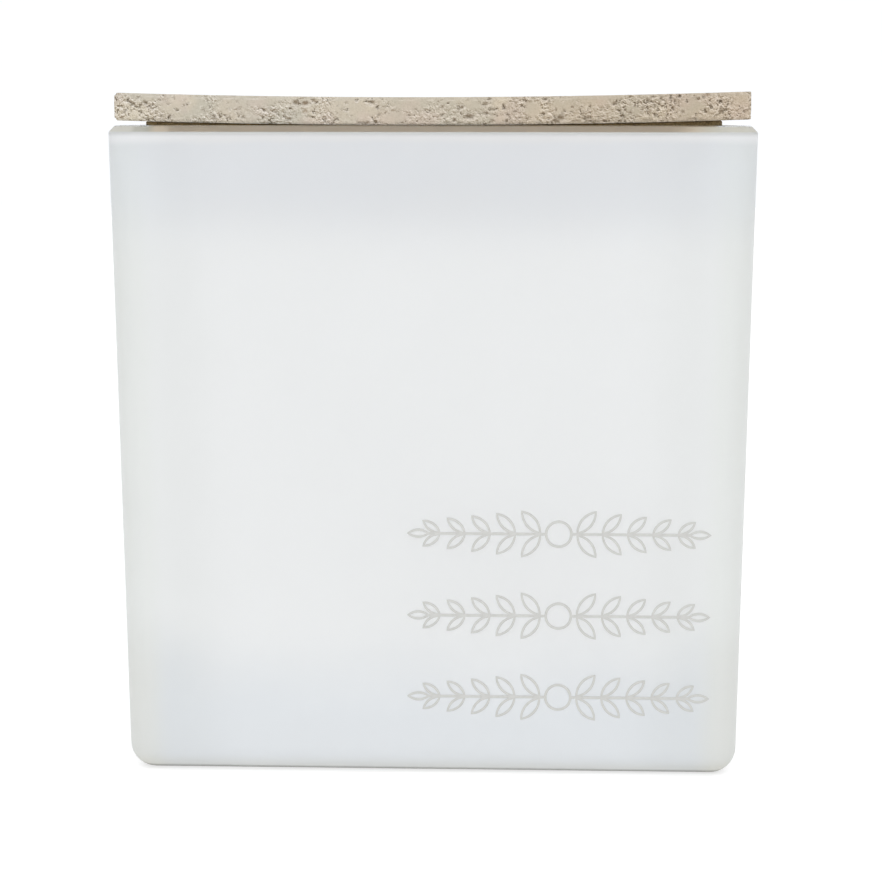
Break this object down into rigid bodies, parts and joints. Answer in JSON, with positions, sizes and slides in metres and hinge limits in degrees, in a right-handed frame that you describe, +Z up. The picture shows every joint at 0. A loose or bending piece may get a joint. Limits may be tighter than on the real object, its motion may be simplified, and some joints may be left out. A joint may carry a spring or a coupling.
{
  "type": "unity candle",
  "caption": "Square frosted-glass jar candle: thick walls, poured wax, upright cotton wicks, printed sprig rows low on the front, and a thin pitted stone lid that lifts off.",
  "frame": {"origin": "middle of the jar's underside, at the centre of the foot", "axes": "+Z up, front face with the printed rows towards -Y, +X to the right seen from the front"},
  "size_m": [0.152, 0.152, 0.1622],
  "materials": {
    "frosted_glass": "satin",
    "wax": "satin",
    "cotton": "matte",
    "tinned_steel": "satin",
    "foam_pad": "matte",
    "stone": "matte",
    "silicone": "satin",
    "print": "matte"
  },
  "bodies": {
    "vessel": {"glass_vessel": "frosted_glass", "wax_fill": "wax", "wick_1": "cotton", "wick_2": "cotton", "wick_3": "cotton", "wick_4": "cotton", "wick_tab_1": "tinned_steel", "wick_tab_2": "tinned_steel", "wick_tab_3": "tinned_steel", "wick_tab_4": "tinned_steel", "wick_sticker_1": "foam_pad", "wick_sticker_2": "foam_pad", "wick_sticker_3": "foam_pad", "wick_sticker_4": "foam_pad", "ornament_row_1": "print", "ornament_row_2": "print", "ornament_row_3": "print"},
    "lid": {"lid_slab": "stone", "lid_plug": "stone", "lid_seal": "silicone"}
  },
  "joints": [
    {"name": "lid_lift", "type": "slide", "parent": "vessel", "child": "lid", "axis": [0, 0, 1], "range_m": [0, 0.08]}
  ]
}
